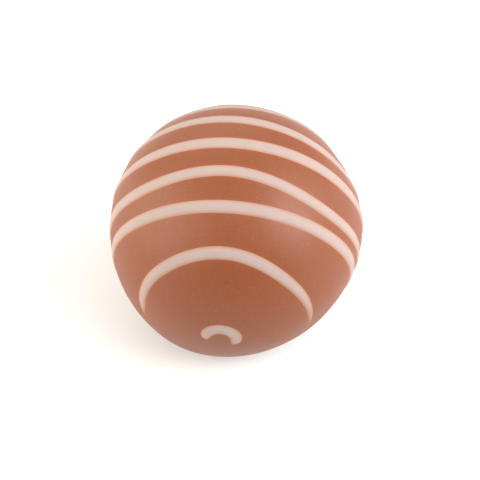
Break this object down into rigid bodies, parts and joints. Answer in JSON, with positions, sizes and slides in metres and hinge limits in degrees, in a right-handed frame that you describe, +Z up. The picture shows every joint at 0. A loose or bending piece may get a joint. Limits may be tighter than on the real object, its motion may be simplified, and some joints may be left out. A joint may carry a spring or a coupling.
{
  "type": "chocolate truffle",
  "caption": "Ball-shaped milk chocolate truffle on a small flat foot, with pink-tinted white chocolate lines piped across it.",
  "frame": {"origin": "centre of the flat foot, in the plane that the truffle stands on", "axes": "+Z up through the crown; the piped lines run along X, and -Y is the front, where the small crescent is"},
  "size_m": [0.0304, 0.0301, 0.0283],
  "materials": {
    "milk_chocolate": "satin milk chocolate coating with a fine, slightly lighter grain",
    "pink_white_chocolate": "satin pink-tinted white chocolate, smooth and slightly domed"
  },
  "bodies": {
    "root": {"chocolate_ball": "milk_chocolate", "piped_line_1": "pink_white_chocolate", "piped_line_2": "pink_white_chocolate", "piped_line_3": "pink_white_chocolate", "piped_line_4": "pink_white_chocolate", "piped_line_5": "pink_white_chocolate", "piped_line_6": "pink_white_chocolate", "piped_line_7": "pink_white_chocolate", "piped_line_8": "pink_white_chocolate"}
  },
  "joints": []
}
